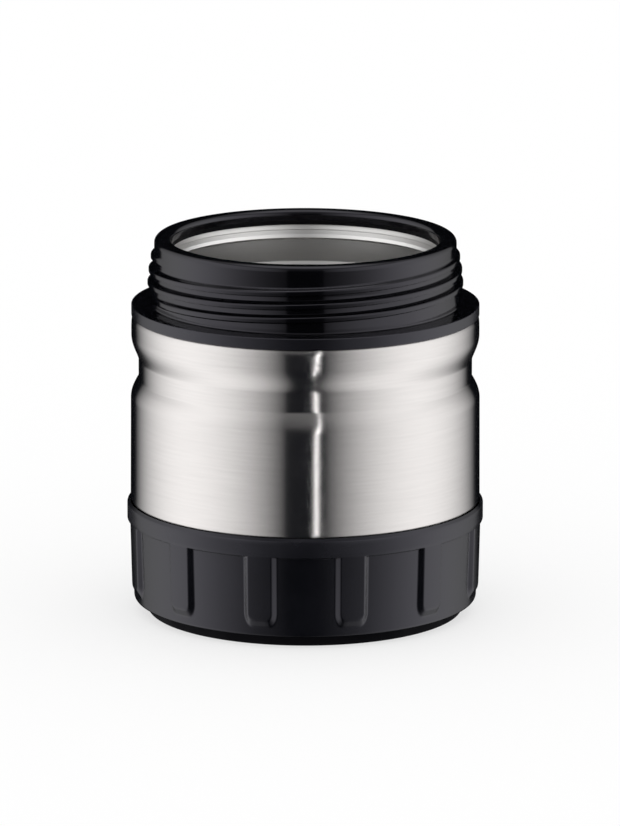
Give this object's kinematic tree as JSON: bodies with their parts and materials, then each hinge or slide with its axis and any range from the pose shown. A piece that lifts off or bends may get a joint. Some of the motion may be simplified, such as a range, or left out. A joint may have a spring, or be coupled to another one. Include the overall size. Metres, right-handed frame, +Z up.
{
  "type": "insulated food jar",
  "caption": "Open double-wall steel food jar with a waist groove, a black screw collar round its wide mouth and a ribbed black base cup.",
  "frame": {"origin": "on the floor under the jar's axis, at the centre of the foot ring's face", "axes": "+Z up along the jar's axis, out of the mouth; -Y towards the front"},
  "size_m": [0.1022, 0.1022, 0.1087],
  "materials": {
    "collar_gloss": "gloss black moulded plastic",
    "cup_satin": "satin black moulded plastic",
    "foot_rubber": "matte black non-slip rubber",
    "seal_silicone": "soft black silicone",
    "brushed_shell": "stainless steel brushed round the body",
    "liner_steel": "satin stainless steel, drawn and polished",
    "pressed_steel": "plain pressed stainless steel",
    "bright_foil": "bright thin foil",
    "bead_glass": "grey solder glass",
    "getter_metal": "dull sintered metal",
    "pad_felt": "grey pressed felt"
  },
  "bodies": {
    "root": {"neck_collar": "collar_gloss", "collar_gasket": "seal_silicone", "shoulder_seal": "seal_silicone", "outer_shell": "brushed_shell", "inner_liner": "liner_steel", "liner_bottom": "liner_steel", "reflector_foil": "bright_foil", "shell_bottom": "pressed_steel", "seal_bead": "bead_glass", "getter": "getter_metal", "getter_clip": "pressed_steel", "damper_pad": "pad_felt", "base_seal": "seal_silicone", "base_cup": "cup_satin", "foot_ring": "foot_rubber"}
  },
  "joints": []
}
